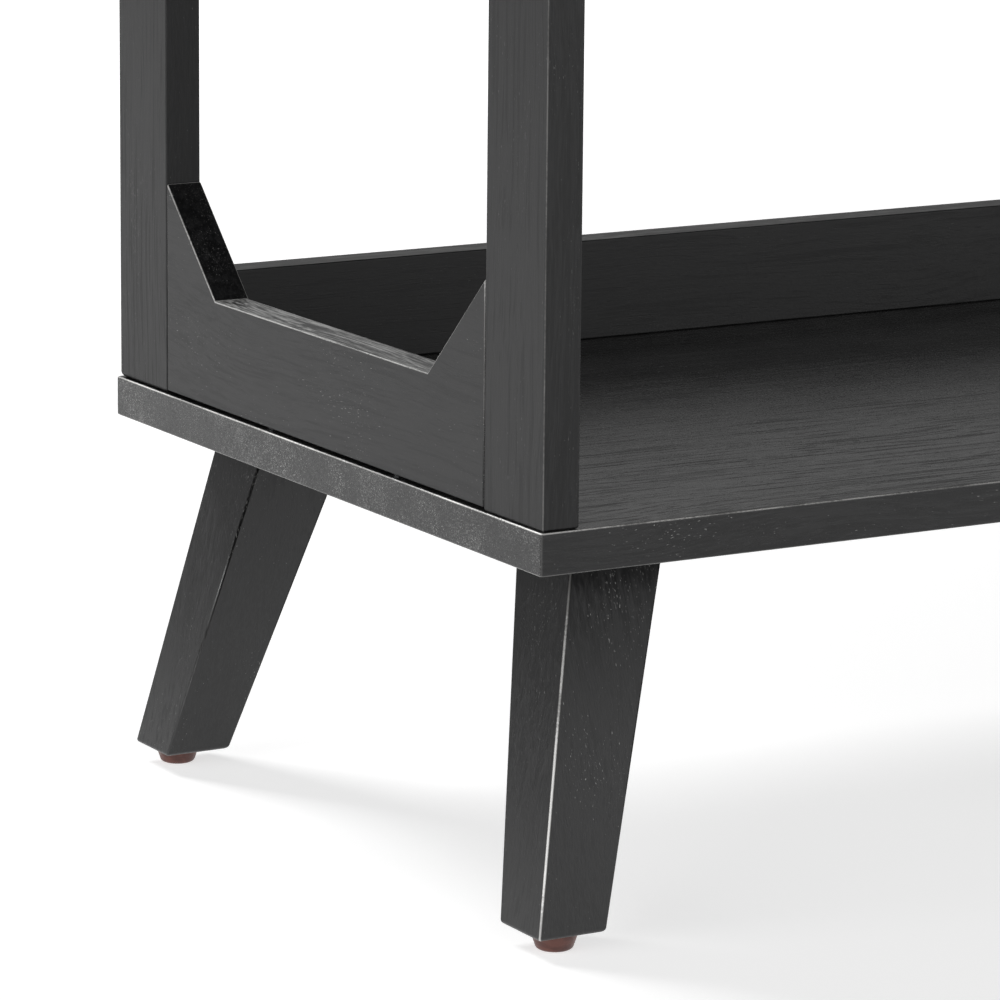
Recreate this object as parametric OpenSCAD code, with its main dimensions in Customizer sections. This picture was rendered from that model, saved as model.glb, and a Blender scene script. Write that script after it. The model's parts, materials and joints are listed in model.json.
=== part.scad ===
// Lift-top coffee table: a splayed-leg shelf base, two open end frames, a storage box
// and a top that swings up and forward on a pair of spring-assisted parallel arms.
// Millimetres. +Z up, +X to the right, front towards -Y, origin on the floor under the centre.

/* [Overall] */
// Length of the table, left to right
table_l = 1060; // [900:10:1300]
// Depth of the table, front to back
table_d = 406; // [380:2:560]
// Height of the table with the top down
table_h = 540; // [500:5:640]

/* [Boards] */
// Thickness of the lower shelf
shelf_t = 19; // [16:1:25]
// Thickness of the lift top
top_t = 19; // [17:1:25]
// Thickness of the posts, end panels, rail and aprons
board_t = 18; // [16:1:22]
// Distance the upright boards stand in from the shelf's edges
edge_inset = 1.5; // [0:0.5:4]
// Gap between the lift top and the frame below it
lid_gap = 2; // [1:0.5:4]

/* [Legs] */
// Height of a leg, from its glide to the shelf
leg_h = 163.2; // [120:0.2:190]
// Side of a leg's square head
leg_head = 47; // [42:1:60]
// Side of a leg's square foot
leg_foot = 34; // [30:1:44]
// Distance from the shelf's edges to a leg's head
head_inset = 38; // [30:1:60]
// Distance from the shelf's ends to a leg's foot
foot_inset_x = 5.5; // [2:0.5:30]
// Distance from the shelf's front and back edges to a leg's foot
foot_inset_y = 7.5; // [2:0.5:30]

/* [Glides] */
// Height of a foot glide
glide_h = 8.3; // [5:0.1:14]
// Diameter of a glide where it meets the leg
glide_top_d = 21.5; // [16:0.5:24]
// Diameter of a glide's sole
glide_sole_d = 16; // [10:0.5:22]
// Distance a glide sits towards the end from the middle of the foot
glide_out_x = 1; // [0:0.5:3]
// Distance a glide sits towards the front or back from the middle of the foot
glide_out_y = 3; // [0:0.5:3]

/* [End frames] */
// Width of a post, front to back
post_w = 50; // [46:1:70]
// Height above the shelf where the notch meets the posts
notch_top = 101; // [86:1:150]
// Height of the end panel under the notch
notch_floor = 52; // [44:1:70]
// Distance from a post to the flat of the notch
notch_slope = 50; // [40:1:90]

/* [Shelf rail] */
// Height of the rail at the back of the shelf
rail_h = 50.5; // [42:0.5:90]

/* [Storage box] */
// Height of the aprons
apron_h = 87; // [84:1:110]
// Thickness of the storage floor
floor_t = 9; // [6:1:12]
// Height of the floor groove above the aprons' lower edge
groove_up = 10; // [8:1:12]
// Depth of the floor groove
groove_d = 6; // [4:0.5:8]

/* [Lift mechanism] */
// Distance between the pivots of an arm
arm_l = 190; // [160:2:200]
// Angle of the arms above horizontal with the top down
arm_rest = 8; // [7:0.5:9]
// Angle that the arms turn through
arm_swing = 112; // [80:1:115]
// Width of an arm
arm_w = 16; // [14:1:18]
// Thickness of an arm
arm_t = 4; // [3:0.5:5]
// Thickness of the bracket steel
bracket_t = 2.5; // [2:0.5:3]
// Distance from the front apron to the front pivot
pivot_inset = 87; // [75:1:110]
// Height of the front pivot above the storage floor
pivot_up = 25; // [24:0.5:28]
// Distance from the front pivot back to the rear pivot
pivot_span = 64; // [56:1:76]
// Distance the rear pivot lies below the front pivot
pivot_drop = 12; // [10:0.5:13]
// Diameter of the pivot pins
pin_d = 8; // [6:0.5:9]
// Diameter of the cross bar that ties the front arms together
bar_d = 16; // [12:1:18]
// Distance from the base brackets to the middle of the cross bar
bar_gap = 22.5; // [20:0.5:30]
// Diameter of the assist spring's wire
wire_d = 3; // [2:0.25:3.5]
// Mean diameter of the assist spring's coil
coil_d = 19; // [18:0.5:21]
// Length of the assist spring's coil
coil_l = 20; // [14:1:24]

/* [Fasteners] */
// Diameter of the wooden dowels
dowel_d = 8; // [6:1:8]
// Length of the wooden dowels
dowel_l = 30; // [20:2:30]
// Diameter of the cam lock bodies
cam_d = 15; // [12:1:15]
// Radial clearance of the running fits
run_clear = 0.1; // [0.05:0.01:0.1]

/* [Hidden] */
$fn = 48;
eps = 0.01; // overrun of every cut past the face it opens
hole_clear = 0.05; // radial room round a fixed pin, dowel or screw
fit_gap = 0.5; // room round the storage floor in its grooves

// heights
shelf_z = glide_h + leg_h;
deck_z = shelf_z + shelf_t;
top_z = table_h - top_t;
post_top = top_z - lid_gap;
box_z = post_top - apron_h;
floor_z = box_z + groove_up;
floor_top = floor_z + floor_t;

// half widths: outer and inner faces of the upright boards, and the posts' inner edges
x_out = table_l / 2 - edge_inset;
x_in = x_out - board_t;
y_out = table_d / 2 - edge_inset;
y_in = y_out - board_t;
y_post = y_out - post_w;
x_mid = (x_out + x_in) / 2;
y_mid = (y_out + y_in) / 2;

// leg centres
head_x = table_l / 2 - head_inset - leg_head / 2;
head_y = table_d / 2 - head_inset - leg_head / 2;
foot_x = table_l / 2 - foot_inset_x - leg_foot / 2;
foot_y = table_d / 2 - foot_inset_y - leg_foot / 2;
glide_x = foot_x + glide_out_x;
glide_y = foot_y + glide_out_y;

// leg fixings
bolt_r = 4;
insert_r = 5;
insert_l = 13;
bolt_in_leg = 35;
leg_dowel_at = 13; // from the bolt, along each axis
leg_dowel_in_shelf = 12;
nail_r = 1.25;
nail_l = 18;

// frame fixings: dowels between the end boards and the posts, at these heights
screw_l = 42;
post_dowel_up = 12; // depth of the upright dowels in the shelf
panel_dowel_z = [deck_z + dowel_l - post_dowel_up + 12, deck_z + dowel_l - post_dowel_up + 48];
apron_dowel_z = [box_z + 26, box_z + 68];
frame_dowel_z = concat(panel_dowel_z, apron_dowel_z);
post_fix_at = 12; // from a post's middle to its dowel and its screw
screw_r = 2.6;
screw_head_r = 5;
screw_head_h = 3;
panel_screw_y = 60;
rail_screw_x = table_l * 0.36;
shelf_screw_at = concat(
    [for (sx = [-1, 1], sy = [-1, 1]) [sx * x_mid, sy * (y_out - post_w / 2 + post_fix_at)]],
    [for (sx = [-1, 1], sy = [-1, 1]) [sx * x_mid, sy * panel_screw_y]],
    [for (k = [-1, 0, 1]) [k * rail_screw_x, y_mid]]
);
rail_dowel_z = shelf_z + screw_l + dowel_d / 2 + 4; // above the screws' tips

// cam locks in the ends of the long aprons
cam_h = 12.5;
cam_reach = 34; // from the apron's end to the cam's centre
cam_bolt_r = 3;
cam_thread_r = 2.5;
cam_thread_l = 11;
cam_z = [floor_top + cam_d / 2 + 6, post_top - cam_d / 2 - 11];

// bumpers under the lift top
bumper_r = 4;
bumper_gap = 0.1;

// mechanism, in the plane x = x_in of each end: distances inward from the wall
gap_t = 1; // room for a washer
washer_t = 0.8;
arm_at = bracket_t + gap_t; // the arm's outer face
arm_end = arm_at + arm_t; // the arm's inner face
flange_at = arm_end + gap_t; // the top bracket's outer face
flange_end = flange_at + bracket_t;
coil_at = flange_end; // the spring's outer end
ear_at = coil_at + coil_l + 1.5; // the base bracket's inner ear
ear_end = ear_at + bracket_t;
pin_r = pin_d / 2;
pin_head_r = pin_r + 2.5;
pin_head_t = 2.5;
washer_r = pin_r + 4;
eye_r = arm_w / 2 + 1.5;
open_clear = 0.3; // radial room at the rear arms' upper pivots

// pivots in the YZ plane with the top down
front_pivot = [-y_in + pivot_inset, floor_top + pivot_up];
rear_pivot = front_pivot + [pivot_span, -pivot_drop];
arm_reach = arm_l * [cos(arm_rest), sin(arm_rest)];
front_top_pivot = front_pivot + arm_reach;
rear_top_pivot = rear_pivot + arm_reach;

// base bracket
wall_front = 22; // in front of the front pivot
wall_back = 18; // behind the rear pivot
wall_up = 14; // above the front pivot
ear_r = 13;
bracket_screw_r = 2;
bracket_screw_head_r = 4;
bracket_screw_l = 15;
base_screw_at = [[-14, 7 - pivot_up], [30, 8], [pivot_span + 8, 8], [36, 7 - pivot_up]];

// stop pin: it meets the front arm's leading edge at the end of the swing
stop_r = 3;
stop_along = 16;
stop_clear = 0.3;
open_angle = arm_rest + arm_swing;
open_dir = [cos(open_angle), sin(open_angle)];
stop_pivot = front_pivot + stop_along * open_dir
    + (arm_w / 2 + stop_r + stop_clear) * [-open_dir[1], open_dir[0]];

// assist spring: one tail lifts the arm by a stud, the other bears on the base bracket
wire_r = wire_d / 2;
coil_r = coil_d / 2;
sleeve_wall = 3;
stud_r = 3;
stud_shank_r = 2;
stud_along = 48;
stud_l = 8;
arm_tail_l = 58;
base_tail_l = 48;
// slope at which the base tail, tangent to the top of the coil, comes down on the bracket's floor
tail_drop = pivot_up - bracket_t - wire_r - 0.1;
base_tail_angle = asin(tail_drop / sqrt(base_tail_l * base_tail_l + coil_r * coil_r))
    + atan(coil_r / base_tail_l);

// top bracket
top_flange_w = 32;
top_flange_end = 16; // past each pivot
top_flange_down = 12; // below the rear pivot
top_screw_in = [9, 24]; // from the bracket's upright face
top_screw_end = 8; // past each pivot
top_screw_l = 14;
pan_r = 4;
pan_h = 2.4;

// cross bar
bar_wall = 1.5;
bar_plug = 15;
bar_screw_r = 3;
bar_screw_head_r = 5.5;
bar_screw_head_h = 2.4;
bar_screw_l = 14;
bar_along = pivot_span + wall_back + bar_gap;
bar_pivot = front_pivot + bar_along * [cos(arm_rest), sin(arm_rest)];

wood = "#2f2f31";
beech = "burlywood";
zinc = "silver";
black_steel = "#26272a";
spring_steel = "dimgray";
nylon = "ivory";
brown = "#5a2c22";
rubber = "#1d1d1f";

// ---- placing helpers ----

// Puts a child that is drawn at the right and the rear into the named corner or end.
module to_side(sx, sy = 1) {
    mirror([sx < 0 ? 1 : 0, 0, 0])
        mirror([0, sy < 0 ? 1 : 0, 0])
            children();
}

module each_corner() {
    for (sx = [-1, 1], sy = [-1, 1])
        to_side(sx, sy) children();
}

// A round bar from a distance inward from the wall at the right end, along -X.
module inward(at, length, radius, pivot) {
    translate([x_in - at - length, pivot[0], pivot[1]])
        rotate([0, 90, 0])
            cylinder(r = radius, h = length);
}

// A board given by its low and high corners.
module block(low, high) {
    translate(low)
        cube(high - low);
}

// ---- legs and glides ----

module leg_solid() {
    h = leg_head / 2;
    f = leg_foot / 2;
    polyhedron(
        points = [
            [foot_x - f, foot_y - f, glide_h], [foot_x + f, foot_y - f, glide_h],
            [foot_x + f, foot_y + f, glide_h], [foot_x - f, foot_y + f, glide_h],
            [head_x - h, head_y - h, shelf_z], [head_x + h, head_y - h, shelf_z],
            [head_x + h, head_y + h, shelf_z], [head_x - h, head_y + h, shelf_z]
        ],
        faces = [
            [0, 1, 2, 3], [7, 6, 5, 4], [4, 5, 1, 0], [5, 6, 2, 1], [6, 7, 3, 2], [7, 4, 0, 3]
        ]
    );
}

module leg_bolt_cut(radius, low, high) {
    translate([head_x, head_y, low])
        cylinder(r = radius, h = high - low);
}

module leg_dowel_cut(radius, low, high) {
    translate([head_x - leg_dowel_at, head_y - leg_dowel_at, low])
        cylinder(r = radius, h = high - low);
}

module leg_dowel(extra) {
    leg_dowel_cut(
        dowel_d / 2 + extra,
        shelf_z + leg_dowel_in_shelf - dowel_l,
        shelf_z + leg_dowel_in_shelf
    );
}

module nail(extra) {
    translate([glide_x, glide_y, glide_h - 4])
        cylinder(r = nail_r + extra, h = nail_l);
}

module leg(sx, sy) {
    color(wood)
        to_side(sx, sy)
            difference() {
                leg_solid();
                leg_bolt_cut(bolt_r + hole_clear, shelf_z - bolt_in_leg, shelf_z + eps);
                leg_dowel(hole_clear);
                nail(hole_clear);
            }
}

module glide(sx, sy) {
    color(brown)
        to_side(sx, sy)
            difference() {
                translate([glide_x, glide_y, 0])
                    cylinder(r1 = glide_sole_d / 2, r2 = glide_top_d / 2, h = glide_h);
                nail(hole_clear);
            }
}

module glide_nails() {
    color(zinc)
        each_corner() nail(0);
}

module leg_bolts() {
    color(zinc)
        each_corner() leg_bolt_cut(bolt_r, shelf_z - bolt_in_leg + 1, shelf_z + insert_l - 1);
}

module leg_insert_nuts() {
    color(zinc)
        each_corner()
            difference() {
                leg_bolt_cut(insert_r, shelf_z, shelf_z + insert_l);
                leg_bolt_cut(bolt_r + hole_clear, shelf_z - eps, shelf_z + insert_l + eps);
            }
}

module leg_dowels() {
    color(beech)
        each_corner() leg_dowel(0);
}

// ---- lower shelf ----

// A countersunk screw that comes up through the shelf's underside.
module shelf_screw(spot, extra) {
    translate([spot[0], spot[1], shelf_z - eps]) {
        cylinder(r = screw_r + extra, h = screw_l);
        cylinder(r1 = screw_head_r + extra, r2 = screw_r + extra, h = screw_head_h);
    }
}

module shelf_screw_holes() {
    for (spot = shelf_screw_at)
        shelf_screw(spot, hole_clear);
}

module post_dowel(extra) {
    translate([x_mid, y_out - post_w / 2 - post_fix_at, deck_z - post_dowel_up])
        cylinder(r = dowel_d / 2 + extra, h = dowel_l);
}

module lower_shelf() {
    color(wood)
        difference() {
            block([-table_l / 2, -table_d / 2, shelf_z], [table_l / 2, table_d / 2, deck_z]);
            shelf_screw_holes();
            each_corner() {
                leg_bolt_cut(insert_r + hole_clear, shelf_z - eps, shelf_z + insert_l);
                leg_dowel(hole_clear);
                post_dowel(hole_clear);
            }
        }
}

module shelf_screws() {
    color(zinc)
        intersection() {
            for (spot = shelf_screw_at)
                shelf_screw(spot, 0);
            block([-table_l, -table_d, shelf_z], [table_l, table_d, table_h]);
        }
}

module post_dowels() {
    color(beech)
        each_corner() post_dowel(0);
}

// ---- end frames ----

// Dowels across the joints between the end boards and the posts.
module frame_dowel_set(heights, extra) {
    for (sy = [-1, 1], z = heights)
        translate([x_mid, sy * y_post, z])
            rotate([90, 0, 0])
                cylinder(r = dowel_d / 2 + extra, h = dowel_l, center = true);
}

module rail_dowel(extra) {
    translate([x_in - dowel_l * 0.6, y_mid, rail_dowel_z])
        rotate([0, 90, 0])
            cylinder(r = dowel_d / 2 + extra, h = dowel_l);
}

// Bolts that reach from the posts into the cams of the long aprons.
module cam_bolt_set(extra) {
    for (z = cam_z) {
        translate([x_in - cam_reach, y_mid, z])
            rotate([0, 90, 0])
                cylinder(r = cam_bolt_r + extra, h = cam_reach);
        translate([x_in - eps, y_mid, z])
            rotate([0, 90, 0])
                cylinder(r = cam_thread_r + extra, h = cam_thread_l + eps);
    }
}

module cam_set(radius, height) {
    for (z = cam_z)
        translate([x_in - cam_reach, y_in - eps, z])
            rotate([-90, 0, 0])
                cylinder(r = radius, h = height + eps);
}

module post(sx, sy) {
    color(wood)
        difference() {
            to_side(sx, sy)
                difference() {
                    block([x_in, y_post, deck_z], [x_out, y_out, post_top]);
                    post_dowel(hole_clear);
                    frame_dowel_set(frame_dowel_z, hole_clear);
                    cam_bolt_set(hole_clear);
                    if (sy > 0) rail_dowel(hole_clear);
                }
            shelf_screw_holes();
        }
}

module end_panel(sx) {
    flat = y_post - notch_slope;
    color(wood)
        difference() {
            to_side(sx)
                translate([x_in, 0, deck_z])
                    rotate([90, 0, 90])
                        linear_extrude(board_t)
                            polygon([
                                [-y_post, 0], [y_post, 0], [y_post, notch_top],
                                [flat, notch_floor], [-flat, notch_floor], [-y_post, notch_top]
                            ]);
            to_side(sx) frame_dowel_set(panel_dowel_z, hole_clear);
            shelf_screw_holes();
        }
}

module shelf_rail() {
    color(wood)
        difference() {
            block([-x_in, y_in, deck_z], [x_in, y_out, deck_z + rail_h]);
            for (sx = [-1, 1])
                to_side(sx) rail_dowel(hole_clear);
            shelf_screw_holes();
        }
}

module frame_dowels() {
    color(beech)
        for (sx = [-1, 1])
            to_side(sx) frame_dowel_set(frame_dowel_z, 0);
}

module rail_dowels() {
    color(beech)
        for (sx = [-1, 1])
            to_side(sx) rail_dowel(0);
}

// ---- storage box ----

module long_apron(sy) {
    color(wood)
        to_side(1, sy)
            difference() {
                block([-x_in, y_in, box_z], [x_in, y_out, post_top]);
                block(
                    [-x_in - eps, y_in - eps, floor_z],
                    [x_in + eps, y_in + groove_d, floor_top + 0.4]
                );
                for (sx = [-1, 1])
                    to_side(sx) {
                        cam_set(cam_d / 2 + hole_clear, cam_h);
                        cam_bolt_set(hole_clear + 0.5);
                    }
            }
}

module end_apron(sx) {
    color(wood)
        to_side(sx)
            difference() {
                block([x_in, -y_post, box_z], [x_out, y_post, post_top]);
                block(
                    [x_in - eps, -y_post - eps, floor_z],
                    [x_in + groove_d, y_post + eps, floor_top + 0.4]
                );
                frame_dowel_set(apron_dowel_z, hole_clear);
                for (spot = base_screw_at)
                    inward(-bracket_screw_l, bracket_screw_l + eps, bracket_screw_r + hole_clear,
                        front_pivot + spot);
            }
}

module storage_floor() {
    tongue = groove_d - fit_gap;
    color(wood) {
        union() {
            block(
                [-x_in - tongue, -y_post + fit_gap, floor_z],
                [x_in + tongue, y_post - fit_gap, floor_top]
            );
            block(
                [-x_in + fit_gap, -y_in - tongue, floor_z],
                [x_in - fit_gap, y_in + tongue, floor_top]
            );
        }
    }
}

// A cam body, slotted across its face and hollow where the bolt's head sits.
module cam_locks() {
    color(zinc)
        each_corner()
            difference() {
                cam_set(cam_d / 2, cam_h - 0.1);
                cam_bolt_set(0.3);
                for (z = cam_z)
                    translate([x_in - cam_reach, y_in, z])
                        cube([cam_d * 0.6, 3, 1.6], center = true);
            }
}

module cam_bolts() {
    color(zinc)
        each_corner() cam_bolt_set(0);
}

module top_bumpers() {
    color(rubber)
        each_corner()
            translate([x_mid, y_out - post_w / 2, post_top])
                cylinder(r = bumper_r, h = lid_gap - bumper_gap);
}

// ---- base of the lift mechanism ----

module base_bracket_solid() {
    back = rear_pivot[0] + wall_back;
    front = front_pivot[0] - wall_front;
    block([x_in - bracket_t, front, floor_top], [x_in, back, front_pivot[1] + wall_up]);
    block([x_in - ear_end, front, floor_top], [x_in, back, floor_top + bracket_t]);
    block(
        [x_in - ear_end, front_pivot[0] - ear_r, floor_top],
        [x_in - ear_at, front_pivot[0] + ear_r, front_pivot[1]]
    );
    inward(ear_at, bracket_t, ear_r, front_pivot);
}

module base_screw(spot, extra) {
    pivot = front_pivot + spot;
    inward(-bracket_screw_l + bracket_t, bracket_screw_l, bracket_screw_r + extra, pivot);
    translate([x_in - bracket_t, pivot[0], pivot[1]])
        rotate([0, 90, 0])
            cylinder(
                r1 = bracket_screw_head_r + extra, r2 = bracket_screw_r + extra,
                h = bracket_t - 0.3
            );
}

module base_bracket(sx) {
    color(black_steel)
        to_side(sx)
            difference() {
                base_bracket_solid();
                inward(-1, ear_end + 2, pin_r + hole_clear, front_pivot);
                inward(-1, bracket_t + 2, pin_r + hole_clear, rear_pivot);
                inward(-1, bracket_t + 2, stud_shank_r + hole_clear, stop_pivot);
                for (spot = base_screw_at)
                    base_screw(spot, hole_clear);
            }
}

module base_bracket_screws() {
    color(zinc)
        for (sx = [-1, 1])
            to_side(sx)
                for (spot = base_screw_at)
                    base_screw(spot, 0);
}

// The front pin also carries the spring, between the wall and the ear; the rear pin is short.
module base_pins() {
    color(zinc)
        for (sx = [-1, 1])
            to_side(sx) {
                inward(0, ear_end, pin_r, front_pivot);
                inward(ear_end, pin_head_t, pin_head_r, front_pivot);
                inward(0, arm_end + 0.1, pin_r, rear_pivot);
                inward(arm_end + 0.1, pin_head_t, pin_head_r, rear_pivot);
            }
}

module washer(at, pivot) {
    difference() {
        inward(at, washer_t, washer_r, pivot);
        inward(at - eps, washer_t + 2 * eps, pin_r + hole_clear, pivot);
    }
}

module base_washers() {
    color(zinc)
        for (sx = [-1, 1])
            to_side(sx) {
                washer(bracket_t + (gap_t - washer_t) / 2, front_pivot);
                washer(bracket_t + (gap_t - washer_t) / 2, rear_pivot);
            }
}

module stop_pins() {
    color(zinc)
        for (sx = [-1, 1])
            to_side(sx) {
                inward(0, bracket_t, stud_shank_r, stop_pivot);
                inward(bracket_t, arm_end - bracket_t, stop_r, stop_pivot);
            }
}

// Nylon tube on the front pin that keeps the coil centred.
module spring_sleeves() {
    length = ear_at - arm_end - 0.2;
    color(nylon)
        for (sx = [-1, 1])
            to_side(sx)
                difference() {
                    inward(arm_end + 0.1, length, pin_r + sleeve_wall, front_pivot);
                    inward(arm_end, length + 1, pin_r + hole_clear, front_pivot);
                }
}

// A straight tail of the spring, tangent to the coil's underside (side -1) or its top (side 1).
module spring_tail(at, angle, length, side) {
    translate([x_in - at, front_pivot[0], front_pivot[1]])
        rotate([angle, 0, 0])
            translate([0, 0, side * coil_r])
                rotate([-90, 0, 0])
                    cylinder(r = wire_r, h = length);
}

// The coil is drawn as the tube that its close-wound turns fill.
module assist_spring(sx) {
    color(spring_steel)
        to_side(sx) {
            difference() {
                inward(coil_at, coil_l, coil_r + wire_r, front_pivot);
                inward(coil_at - 1, coil_l + 2, coil_r - wire_r, front_pivot);
            }
            spring_tail(coil_at + wire_r, arm_rest, arm_tail_l, -1);
            spring_tail(coil_at + coil_l - wire_r, -base_tail_angle, base_tail_l, 1);
        }
}

// ---- arms ----

// An arm along its resting direction, from its lower pivot, with the upper hole's radius given.
module arm_solid(pivot, upper_r) {
    translate([x_in - arm_end, pivot[0], pivot[1]])
        rotate([arm_rest, 0, 0])
            difference() {
                union() {
                    translate([0, 0, -arm_w / 2])
                        cube([arm_t, arm_l, arm_w]);
                    for (at = [0, arm_l])
                        translate([0, at, 0])
                            rotate([0, 90, 0])
                                cylinder(r = eye_r, h = arm_t);
                }
                translate([-1, 0, 0])
                    rotate([0, 90, 0])
                        cylinder(r = pin_r + run_clear, h = arm_t + 2);
                translate([-1, arm_l, 0])
                    rotate([0, 90, 0])
                        cylinder(r = upper_r, h = arm_t + 2);
            }
}

// Places a child at a spot along the front arm and off its centre line.
function on_front_arm(along, off) = front_pivot
    + along * [cos(arm_rest), sin(arm_rest)]
    + off * [-sin(arm_rest), cos(arm_rest)];
stud_pivot = on_front_arm(stud_along, -coil_r + wire_r + stud_r + 0.1);

module front_arm(sx) {
    color(black_steel)
        to_side(sx)
            difference() {
                arm_solid(front_pivot, pin_r + run_clear);
                inward(arm_at - 1, arm_t + 2, bar_screw_r + hole_clear, bar_pivot);
                inward(arm_at - 1, arm_t + 2, stud_shank_r + hole_clear, stud_pivot);
            }
}

module rear_arm(sx) {
    color(black_steel)
        to_side(sx) arm_solid(rear_pivot, pin_r + open_clear);
}

module cross_bar() {
    half = x_in - arm_end;
    color(black_steel)
        difference() {
            translate([-half, bar_pivot[0], bar_pivot[1]])
                rotate([0, 90, 0])
                    cylinder(r = bar_d / 2, h = 2 * half);
            translate([-half + bar_plug, bar_pivot[0], bar_pivot[1]])
                rotate([0, 90, 0])
                    cylinder(r = bar_d / 2 - bar_wall, h = 2 * (half - bar_plug));
            for (sx = [-1, 1])
                to_side(sx)
                    inward(arm_end - 1, bar_screw_l + 1, bar_screw_r + hole_clear, bar_pivot);
        }
}

module cross_bar_screws() {
    color(zinc)
        for (sx = [-1, 1])
            to_side(sx) {
                inward(arm_at, arm_t + bar_screw_l - 1, bar_screw_r, bar_pivot);
                inward(arm_at - bar_screw_head_h, bar_screw_head_h, bar_screw_head_r, bar_pivot);
            }
}

module spring_studs() {
    color(zinc)
        for (sx = [-1, 1])
            to_side(sx) {
                inward(arm_at, arm_t, stud_shank_r, stud_pivot);
                inward(arm_end, stud_l, stud_r, stud_pivot);
            }
}

// ---- lift top ----

top_screw_y = [front_top_pivot[0] - top_screw_end, rear_top_pivot[0] + top_screw_end];

module top_screw_set(radius, low, high) {
    for (y = top_screw_y, at = top_screw_in)
        translate([x_in - flange_at - at, y, low])
            cylinder(r = radius, h = high - low);
}

module lift_top() {
    color(wood)
        difference() {
            block([-table_l / 2, -table_d / 2, top_z], [table_l / 2, table_d / 2, table_h]);
            for (sx = [-1, 1])
                to_side(sx)
                    top_screw_set(bracket_screw_r + hole_clear, top_z - 1, top_z + top_screw_l);
        }
}

module top_bracket(sx) {
    front = front_top_pivot[0] - top_flange_end;
    back = rear_top_pivot[0] + top_flange_end;
    color(black_steel)
        to_side(sx)
            difference() {
                union() {
                    block(
                        [x_in - flange_end, front, rear_top_pivot[1] - top_flange_down],
                        [x_in - flange_at, back, top_z]
                    );
                    block(
                        [x_in - flange_at - top_flange_w, front, top_z - bracket_t],
                        [x_in - flange_at, back, top_z]
                    );
                }
                inward(flange_at - 1, bracket_t + 2, pin_r + hole_clear, front_top_pivot);
                inward(flange_at - 1, bracket_t + 2, pin_r + hole_clear, rear_top_pivot);
                top_screw_set(bracket_screw_r + hole_clear, top_z - bracket_t - 1, top_z + 1);
            }
}

module top_bracket_screws() {
    color(zinc)
        for (sx = [-1, 1])
            to_side(sx) {
                top_screw_set(bracket_screw_r, top_z - bracket_t, top_z + top_screw_l - 1);
                top_screw_set(pan_r, top_z - bracket_t - pan_h, top_z - bracket_t);
            }
}

// Rivets through the upper ends of the arms and the top brackets.
module top_pin(pivot) {
    head_t = arm_at - 1.4;
    inward(1.3, head_t, pin_head_r, pivot);
    inward(1.3, flange_end + 2 - 1.3, pin_r, pivot);
    inward(flange_end, 2, pin_head_r - 0.5, pivot);
}

module top_pins() {
    color(zinc)
        for (sx = [-1, 1])
            to_side(sx) {
                top_pin(front_top_pivot);
                top_pin(rear_top_pivot);
            }
}

module top_washers() {
    color(zinc)
        for (sx = [-1, 1])
            to_side(sx) {
                washer(arm_end + (gap_t - washer_t) / 2, front_top_pivot);
                washer(arm_end + (gap_t - washer_t) / 2, rear_top_pivot);
            }
}

// ---- nodes ----

lower_shelf();
leg(-1, -1);  // leg_front_left
leg(1, -1);  // leg_front_right
leg(-1, 1);  // leg_rear_left
leg(1, 1);  // leg_rear_right
glide(-1, -1);  // glide_front_left
glide(1, -1);  // glide_front_right
glide(-1, 1);  // glide_rear_left
glide(1, 1);  // glide_rear_right
glide_nails();
leg_bolts();
leg_insert_nuts();
leg_dowels();
post(-1, -1);  // post_front_left
post(1, -1);  // post_front_right
post(-1, 1);  // post_rear_left
post(1, 1);  // post_rear_right
end_panel(-1);  // end_panel_left
end_panel(1);  // end_panel_right
shelf_rail();
long_apron(-1);  // front_apron
long_apron(1);  // back_apron
end_apron(-1);  // end_apron_left
end_apron(1);  // end_apron_right
storage_floor();
frame_dowels();
rail_dowels();
post_dowels();
shelf_screws();
cam_locks();
cam_bolts();
top_bumpers();
base_bracket(-1);  // base_bracket_left
base_bracket(1);  // base_bracket_right
base_bracket_screws();
base_pins();
base_washers();
stop_pins();
spring_sleeves();
assist_spring(-1);  // assist_spring_left
assist_spring(1);  // assist_spring_right
front_arm(-1);  // front_arm_left
front_arm(1);  // front_arm_right
cross_bar();
cross_bar_screws();
spring_studs();
rear_arm(-1);  // rear_arm_left
rear_arm(1);  // rear_arm_right
lift_top();
top_bracket(-1);  // top_bracket_left
top_bracket(1);  // top_bracket_right
top_bracket_screws();
top_pins();
top_washers();
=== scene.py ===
"""A black open-grain oak lift-top coffee table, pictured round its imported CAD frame."""

import json
import math

import bmesh
import bpy
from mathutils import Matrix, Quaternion, Vector


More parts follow.
